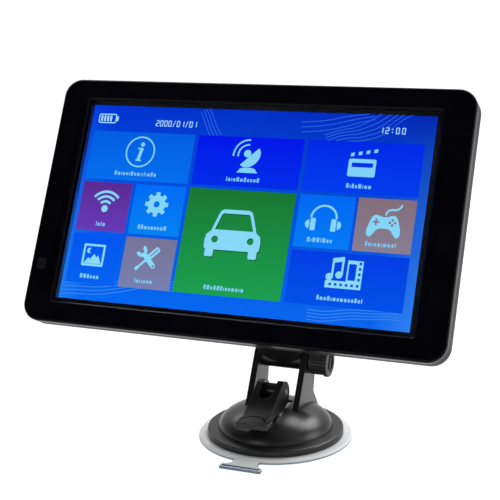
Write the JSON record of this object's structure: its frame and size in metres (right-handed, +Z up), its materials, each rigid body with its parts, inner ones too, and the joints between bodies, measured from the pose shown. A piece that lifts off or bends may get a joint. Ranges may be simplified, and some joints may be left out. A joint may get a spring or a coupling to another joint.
{
  "type": "windscreen-mounted satellite navigator",
  "caption": "Slim wide-screen satellite navigator on a back clip, carried by a tilting fork clamp with a thumb knob on a lever-locked suction-cup base.",
  "frame": {"origin": "centre of the suction cup's sealing ring, on the surface it is stuck to", "axes": "+X to the viewer's right along the clamp axis, +Y away from the viewer who looks at the screen, +Z up out of the mounting surface"},
  "size_m": [0.238, 0.1076, 0.1815],
  "materials": {
    "case_plastic": "fine-grained black ABS",
    "touch_glass": "smooth clear touch glass",
    "foam": "closed-cell black foam",
    "display": "lit liquid-crystal panel",
    "sheet_steel": "tinned sheet steel",
    "backlight_tray": "bare aluminium tray",
    "circuit_board": "green solder-masked laminate",
    "chip_resin": "moulded epoxy packages",
    "ceramic": "fired ceramic patch",
    "cell_wrap": "silver-grey laminated pouch",
    "jack_plastic": "black moulded nylon",
    "light_pipe": "smoked translucent window",
    "led_body": "white LED package",
    "flex": "amber polyimide flex",
    "screw_steel": "black-zinc screw steel",
    "mount_plastic": "satin charcoal nylon",
    "clear_gel": "clear soft vinyl",
    "pin_steel": "bright steel pin",
    "plain_steel": "plain steel",
    "insert_brass": "knurled brass insert",
    "washer_nylon": "dark acetal washer"
  },
  "bodies": {
    "base": {"suction_pad": "clear_gel", "cup_shell": "mount_plastic", "seat_plate": "plain_steel", "fork": "mount_plastic", "fork_screws": "screw_steel", "rod_spring": "plain_steel", "clamp_bolt": "screw_steel", "friction_washers": "washer_nylon", "knob_washer": "washer_nylon"},
    "rod": {"pull_rod": "plain_steel", "rod_plate": "plain_steel", "lever_pin": "pin_steel"},
    "lever": {"lever": "mount_plastic"},
    "knob": {"clamp_knob": "mount_plastic", "knob_insert": "insert_brass"},
    "head": {"back_clip": "mount_plastic"},
    "navigator": {"front_bezel": "case_plastic", "rear_cover": "case_plastic", "touch_panel": "touch_glass", "screen_gasket": "foam", "lcd_panel": "display", "backlight_frame": "backlight_tray", "main_board": "circuit_board", "board_chips": "chip_resin", "shield_can": "sheet_steel", "gps_antenna": "ceramic", "battery": "cell_wrap", "speaker": "chip_resin", "speaker_foam": "foam", "microphone": "chip_resin", "card_socket": "sheet_steel", "usb_socket": "sheet_steel", "earphone_jack": "jack_plastic", "power_switch": "chip_resin", "reset_switch": "chip_resin", "indicator_window": "light_pipe", "indicator_led": "led_body", "display_ribbon": "flex", "touch_ribbon": "flex", "case_screws": "screw_steel", "board_screws": "screw_steel"},
    "power_button": {"power_button": "case_plastic"},
    "memory_card": {"memory_card": "jack_plastic"}
  },
  "joints": [
    {"name": "rod_slide", "type": "slide", "parent": "base", "child": "rod", "axis": [0, 0, -1], "range_m": [0, 0.0022], "deforming": ["suction_pad", "rod_spring"]},
    {"name": "lever_hinge", "type": "hinge", "parent": "rod", "child": "lever", "pos_m": [0, -0.0025, 0.0256], "axis": [-1, 0, 0], "range_deg": [0, 62.2]},
    {"name": "knob_turn", "type": "hinge", "parent": "base", "child": "knob", "pos_m": [0, 0.0153, 0.0383], "axis": [1, 0, 0], "range_deg": [0, 360]},
    {"name": "head_tilt", "type": "hinge", "parent": "base", "child": "head", "pos_m": [0, 0.0153, 0.0383], "axis": [1, 0, 0], "range_deg": [-50, 12]},
    {"name": "unclip_slide", "type": "slide", "parent": "head", "child": "navigator", "axis": [0, 0.4587, 0.8886], "range_m": [0, 0.006]},
    {"name": "power_press", "type": "slide", "parent": "navigator", "child": "power_button", "axis": [0, -0.4587, -0.8886], "range_m": [0, 0.0005], "stiffness_N_per_m": 2000, "springref_m": -0.0002},
    {"name": "card_slide", "type": "slide", "parent": "navigator", "child": "memory_card", "axis": [-1, 0, 0], "range_m": [0, 0.006]}
  ],
  "couplings": [
    {"joint": "lever_hinge", "follows": "rod_slide", "rad_per_m": 491.87}
  ]
}
